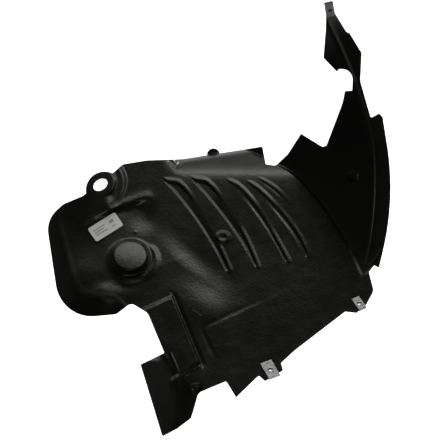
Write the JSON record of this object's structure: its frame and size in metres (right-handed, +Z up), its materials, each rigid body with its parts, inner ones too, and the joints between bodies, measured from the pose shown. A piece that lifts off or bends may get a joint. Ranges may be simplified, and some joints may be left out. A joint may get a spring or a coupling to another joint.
{
  "type": "wheel arch liner",
  "caption": "Black moulded wheel arch liner with a ribbed slanting panel, a curved tread wall, a long narrow arm, push-on spring clips and a paper label.",
  "frame": {"origin": "middle of the threaded collar bore of the lower clip", "axes": "car frame: +X to the front of the car, +Y inboard (to the left on this right-hand liner), +Z up; the wheel turns about Y and lies on the -Y side"},
  "size_m": [0.4057, 0.4586, 0.6408],
  "materials": {
    "black_plastic": "satin, fine grain",
    "spring_steel": "zinc plated",
    "label_paper": "paper"
  },
  "bodies": {
    "root": {"liner_shell": "black_plastic", "lower_clip": "spring_steel", "outer_clip": "spring_steel", "tip_clip": "spring_steel", "paper_label": "label_paper"}
  },
  "joints": []
}
